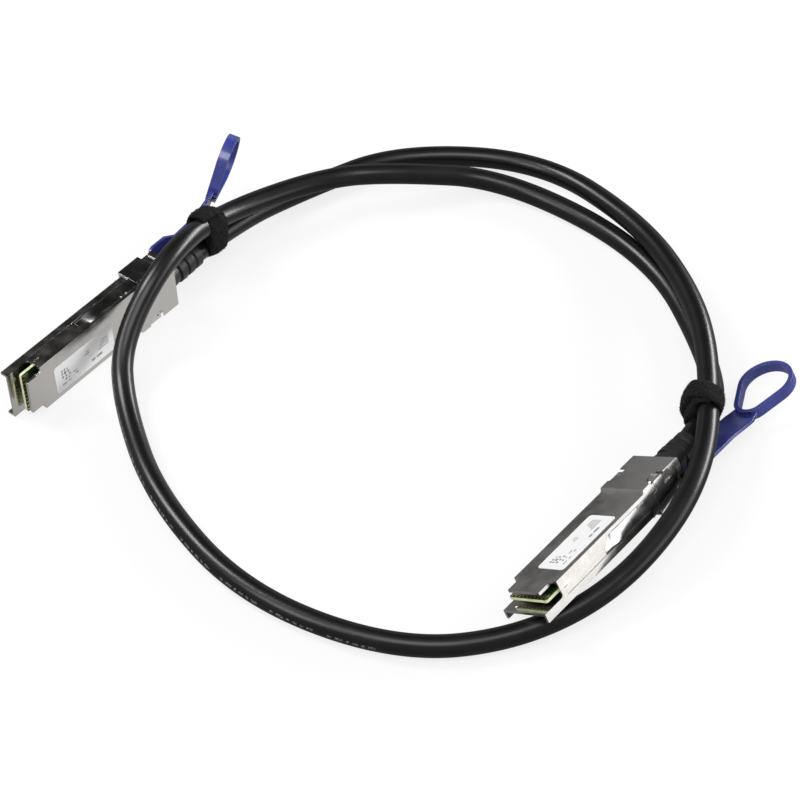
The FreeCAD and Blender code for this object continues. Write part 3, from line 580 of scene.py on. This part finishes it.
def racetrack(share, radius, gap):
    """A place, its outward direction and how deep the waist is there, at a share of the way round two
    circles. The place and the direction are (side, up) pairs."""
    arc = math.pi * radius
    run = (share % 1.0) * 2 * (arc + gap)
    if run < gap:
        return Vector((radius, run)), Vector((1, 0)), math.sin(math.pi * run / gap)
    if run < gap + arc:
        turn = (run - gap) / radius
        out = Vector((math.cos(turn), math.sin(turn)))
        return Vector((0, gap)) + radius * out, out, 0.0
    if run < 2 * gap + arc:
        down = run - gap - arc
        return Vector((-radius, gap - down)), Vector((-1, 0)), math.sin(math.pi * down / gap)
    turn = math.pi + (run - 2 * gap - arc) / radius
    out = Vector((math.cos(turn), math.sin(turn)))
    return radius * out, out, 0.0


def strip_ring(work, tie, turns):
    """The points round the strip's cross-section at a number of turns: over its top and back below it."""
    low, high = Vector(tie["low"]) * MM, Vector(tie["high"]) * MM
    along = Vector(tie["along"]).normalized()
    up = high - low
    gap = up.length
    up.normalize()
    side = up.cross(along).normalized()
    climbed = min(1.0, max(0.0, (turns - CLIMB_FROM) / CLIMB_OVER))
    over = max(0.0, turns - 1.0) / (STRIP_TURNS - 1.0)
    base = CABLE_DIAMETER / 2 + STRIP_CLEARANCE + STRIP_THICK * CLIMB * climbed
    place, out, waist = racetrack(tie["start"] + turns, base, gap)
    swell = tie["bulge"] * math.sin(math.pi * over)
    slid = tie["slide"] * min(1.0, over / SLID_BY)
    outward = side * out.x + up * out.y
    middle = low + side * place.x + up * place.y + along * slid
    slack = SLACK * (1 + noise.noise(Vector((turns * SLACK_PACE, 3.1, 0.7))))
    wander = EDGE_WANDER * noise.noise(Vector((turns * EDGE_PACE, 0.3, 5.1)))
    ring = []
    for row in range(STRIP_ROWS):
        across = row / (STRIP_ROWS - 1) - 0.5
        crown = 1 - (2 * across) ** 4 * CROWN_FALL
        wrinkle = WRINKLE * noise.noise(Vector((turns * WRINKLE_PACE, row * WRINKLE_ROW_PACE, 2.0)))
        height = (STRIP_THICK + swell) * crown + slack * (1 - abs(across)) + wrinkle
        ring.append(work.verts.new(middle + outward * height + along * (across * tie["width"] + wander)))
    for row in reversed(range(STRIP_ROWS)):
        across = row / (STRIP_ROWS - 1) - 0.5
        height = -WAIST_FILL * waist
        ring.append(work.verts.new(middle + outward * height + along * (across * tie["width"] + wander)))
    return ring


def tie_strip(end):
    """The wound strip as a mesh: ring after ring round the strands, closed at its two ends."""
    mesh = bpy.data.meshes.new("tie_strip_" + end)
    work = bmesh.new()
    rings = []
    for step in range(STRIP_STEPS + 1):
        rings.append(strip_ring(work, TIES[end], STRIP_TURNS * step / STRIP_STEPS))
    for ring, after in zip(rings, rings[1:]):
        for number in range(len(ring)):
            follow = (number + 1) % len(ring)
            work.faces.new((ring[number], ring[follow], after[follow], after[number]))
    work.faces.new(list(reversed(rings[0])))
    work.faces.new(rings[-1])
    bmesh.ops.recalc_face_normals(work, faces=work.faces)
    for face in work.faces:
        face.smooth = True
    work.to_mesh(mesh)
    work.free()
    return mesh


def tie_cloth(name, dark, light, roughness):
    """Dull black cloth, uneven in colour and deep in relief."""
    material, nodes, links, shader = new_material(name, dark, roughness, specular=0.2)
    tufts = add_noise(nodes, links, scale=1500, detail=3)
    tint(nodes, links, tufts, shader, dark, light)
    add_bump(nodes, links, tufts, shader, height=0.0004, strength=0.8)
    return material


def pile_nodes(fibre_material):
    """Geometry Nodes that set short fibres on a surface: a three-sided spike at each scattered point."""
    group = bpy.data.node_groups.new("cloth_pile", "GeometryNodeTree")
    group.interface.new_socket("Geometry", in_out="INPUT", socket_type="NodeSocketGeometry")
    for name in ("Fibres per square metre", "Fibre length", "Fibre thickness"):
        group.interface.new_socket(name, in_out="INPUT", socket_type="NodeSocketFloat")
    group.interface.new_socket("Seed", in_out="INPUT", socket_type="NodeSocketInt")
    group.interface.new_socket("Geometry", in_out="OUTPUT", socket_type="NodeSocketGeometry")
    nodes, links = group.nodes, group.links
    given, result = nodes.new("NodeGroupInput"), nodes.new("NodeGroupOutput")
    scatter = nodes.new("GeometryNodeDistributePointsOnFaces")
    spike = nodes.new("GeometryNodeMeshCone")
    spike.fill_type = "NONE"
    spike.inputs["Vertices"].default_value = 3
    spike.inputs["Radius Top"].default_value = 0.0
    # a random value has a pair of limits for each of its types: first for vectors, then for numbers
    lean = nodes.new("FunctionNodeRandomValue")
    lean.data_type = "FLOAT_VECTOR"
    lean.inputs[0].default_value = (-FIBRE_LEAN, -FIBRE_LEAN, 0.0)
    lean.inputs[1].default_value = (FIBRE_LEAN, FIBRE_LEAN, FIBRE_TURN)
    turn = nodes.new("FunctionNodeRotateRotation")
    turn.rotation_space = "LOCAL"
    tilt = nodes.new("FunctionNodeEulerToRotation")
    stretch = nodes.new("FunctionNodeRandomValue")
    stretch.data_type = "FLOAT"
    stretch.inputs[2].default_value = FIBRE_SHORTEST
    stretch.inputs[3].default_value = FIBRE_LONGEST
    place = nodes.new("GeometryNodeInstanceOnPoints")
    real = nodes.new("GeometryNodeRealizeInstances")
    paint = nodes.new("GeometryNodeSetMaterial")
    paint.inputs["Material"].default_value = fibre_material
    both = nodes.new("GeometryNodeJoinGeometry")
    links.new(given.outputs["Geometry"], scatter.inputs["Mesh"])
    links.new(given.outputs["Fibres per square metre"], scatter.inputs["Density"])
    links.new(given.outputs["Seed"], scatter.inputs["Seed"])
    links.new(given.outputs["Fibre length"], spike.inputs["Depth"])
    links.new(given.outputs["Fibre thickness"], spike.inputs["Radius Bottom"])
    links.new(given.outputs["Seed"], lean.inputs["Seed"])
    links.new(given.outputs["Seed"], stretch.inputs["Seed"])
    links.new(lean.outputs["Value"], tilt.inputs["Euler"])
    links.new(scatter.outputs["Rotation"], turn.inputs["Rotation"])
    links.new(tilt.outputs["Rotation"], turn.inputs["Rotate By"])
    links.new(scatter.outputs["Points"], place.inputs["Points"])
    links.new(spike.outputs["Mesh"], place.inputs["Instance"])
    links.new(turn.outputs["Rotation"], place.inputs["Rotation"])
    links.new(stretch.outputs[1], place.inputs["Scale"])
    links.new(place.outputs["Instances"], real.inputs["Geometry"])
    links.new(real.outputs["Geometry"], paint.inputs["Geometry"])
    links.new(given.outputs["Geometry"], both.inputs["Geometry"])
    links.new(paint.outputs["Geometry"], both.inputs["Geometry"])
    links.new(both.outputs["Geometry"], result.inputs["Geometry"])
    return group


cloth = tie_cloth("tie_cloth", (0.004, 0.004, 0.004), (0.014, 0.014, 0.015), roughness=0.95)
fibres = tie_cloth("tie_fibre", (0.006, 0.006, 0.006), (0.03, 0.03, 0.032), roughness=0.8)
pile = pile_nodes(fibres)
for end in "ab":
    strip_mesh = tie_strip(end)
    strip_mesh.materials.append(cloth)
    strip = add_piece("tie_strip_" + end, strip_mesh)
    grow = strip.modifiers.new("cloth_pile", "NODES")
    grow.node_group = pile
    for socket in pile.interface.items_tree:
        if socket.in_out == "INPUT" and socket.name in PILE:
            grow[socket.identifier] = PILE[socket.name]
    grown = bpy.data.meshes.new_from_object(strip.evaluated_get(bpy.context.evaluated_depsgraph_get()))
    grown.name = "tie_band_" + end
    bpy.data.objects.remove(strip)
    tie = add_piece("tie_band_" + end, grown)
    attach(tie, "assembly")
    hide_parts("tie_" + end)


# ---------------------------------------------------------------- studio
# A white sweep under large softboxes. A black card hangs over the back, so that what faces up and back
# mirrors it and stays dark.

# half the width and half the height of the card, and half the side of the sweep
CARD_HALF_SIZE = (0.42, 0.36)
SWEEP_HALF_SIDE = 3.0
# painted reflection: how brightly glossy faces mirror the sweep, set by place and not by the lamps: near to
# the left-hand plug, and further from it
LEFT_PLUG = (-0.078, 0.025, 0)
NEAR_PLUG, FAR_FROM_PLUG = 0.03, 0.09
PAINTED_REFLECTION_NEAR, PAINTED_REFLECTION_FAR = 0.56, 0.2
# the share of the glow in what the lens sees of the sweep
SEEN_GLOW = 0.8
# how strongly the air all round lights the coil
AIR_LIGHT = 0.25


def aimed_at_coil(name, data, direction, distance):
    """Sets a lamp or a card at a distance in a direction, with its face to the coil."""
    item = bpy.data.objects.new(name, data)
    item.location = Vector(direction).normalized() * distance
    item.rotation_euler = Vector(direction).to_track_quat("Z", "Y").to_euler()
    bpy.context.scene.collection.objects.link(item)
    return item


def soft_box(name, direction, distance, width, height, power):
    lamp_data = bpy.data.lights.new(name, "AREA")
    lamp_data.shape = "RECTANGLE"
    lamp_data.size = width
    lamp_data.size_y = height
    lamp_data.energy = power
    return aimed_at_coil(name, lamp_data, direction, distance)


def flat_square(name, half_width, half_height):
    mesh = bpy.data.meshes.new(name)
    mesh.from_pydata([(-half_width, -half_height, 0), (half_width, -half_height, 0),
                      (half_width, half_height, 0), (-half_width, half_height, 0)], [], [(0, 1, 2, 3)])
    return mesh


def sweep_paper():
    """White paper that glows to the lens and, less brightly, to the faces that mirror it, as a painted
    reflection that is brighter near the left-hand plug. The rest of what the lens sees is the lit paper,
    which keeps the coil's shadow."""
    material, nodes, links, shader = new_material("sweep_paper", (0.9, 0.9, 0.9), 0.9, specular=0.0)
    ray = nodes.new("ShaderNodeLightPath")
    place = nodes.new("ShaderNodeTexCoord")
    from_left_plug = nodes.new("ShaderNodeVectorMath")
    from_left_plug.operation = "DISTANCE"
    from_left_plug.inputs[1].default_value = LEFT_PLUG
    links.new(place.outputs["Object"], from_left_plug.inputs[0])
    # painted reflection: glossy rays see the sweep brighter near the left-hand plug and dimmer further off
    painted_reflection = nodes.new("ShaderNodeMapRange")
    painted_reflection.interpolation_type = "SMOOTHSTEP"
    painted_reflection.inputs["From Min"].default_value = NEAR_PLUG
    painted_reflection.inputs["From Max"].default_value = FAR_FROM_PLUG
    painted_reflection.inputs["To Min"].default_value = PAINTED_REFLECTION_NEAR
    painted_reflection.inputs["To Max"].default_value = PAINTED_REFLECTION_FAR
    links.new(from_left_plug.outputs["Value"], painted_reflection.inputs["Value"])
    brightness = nodes.new("ShaderNodeMix")
    brightness.inputs["A"].default_value = 1.0
    links.new(ray.outputs["Is Glossy Ray"], brightness.inputs["Factor"])
    links.new(painted_reflection.outputs["Result"], brightness.inputs["B"])
    glowing = nodes.new("ShaderNodeMath")
    glowing.operation = "MULTIPLY_ADD"
    glowing.inputs[1].default_value = SEEN_GLOW
    links.new(ray.outputs["Is Camera Ray"], glowing.inputs[0])
    links.new(ray.outputs["Is Glossy Ray"], glowing.inputs[2])
    glow = nodes.new("ShaderNodeEmission")
    links.new(brightness.outputs["Result"], glow.inputs["Strength"])
    blend = nodes.new("ShaderNodeMixShader")
    links.new(glowing.outputs[0], blend.inputs["Fac"])
    links.new(shader.outputs["BSDF"], blend.inputs[1])
    links.new(glow.outputs["Emission"], blend.inputs[2])
    links.new(blend.outputs["Shader"], nodes["Material Output"].inputs["Surface"])
    return material


def studio_air():
    """Plain white air that lights the coil a little, and is full white where the lens sees past the sweep."""
    world = bpy.data.worlds.new("studio_air")
    world.use_nodes = True
    nodes, links = world.node_tree.nodes, world.node_tree.links
    nodes["Background"].inputs["Color"].default_value = (1, 1, 1, 1)
    ray = nodes.new("ShaderNodeLightPath")
    strength = nodes.new("ShaderNodeMath")
    strength.operation = "MULTIPLY_ADD"
    strength.inputs[1].default_value = 1 - AIR_LIGHT
    strength.inputs[2].default_value = AIR_LIGHT
    links.new(ray.outputs["Is Camera Ray"], strength.inputs[0])
    links.new(strength.outputs[0], nodes["Background"].inputs["Strength"])
    return world


soft_box("back_right_softbox", (0.8, 0.5, 0.34), distance=1.2, width=1.0, height=0.28, power=13)
soft_box("right_softbox", (1.0, -0.12, 0.24), distance=1.3, width=1.2, height=0.7, power=4)
soft_box("upper_left_softbox", (-0.62, 0.24, 0.75), distance=1.3, width=0.34, height=0.55, power=8)
soft_box("front_left_softbox", (-0.62, -0.4, 0.7), distance=1.3, width=0.34, height=0.5, power=3)
soft_box("overhead_softbox", (-0.05, -0.36, 0.94), distance=1.4, width=0.9, height=0.7, power=6.5)

black_card_mesh = flat_square("black_card", *CARD_HALF_SIZE)
black_flock = new_material("black_flock", (0.01, 0.01, 0.01), 0.9, specular=0.0)[0]
black_card_mesh.materials.append(black_flock)
black_card = aimed_at_coil("black_card", black_card_mesh, (-0.05, 0.68, 0.73), distance=1.0)

sweep_mesh = flat_square("white_sweep", SWEEP_HALF_SIDE, SWEEP_HALF_SIDE)
sweep_mesh.materials.append(sweep_paper())
sweep = add_piece("white_sweep", sweep_mesh)

bpy.context.scene.world = studio_air()
bpy.context.scene.view_settings.view_transform = "Standard"
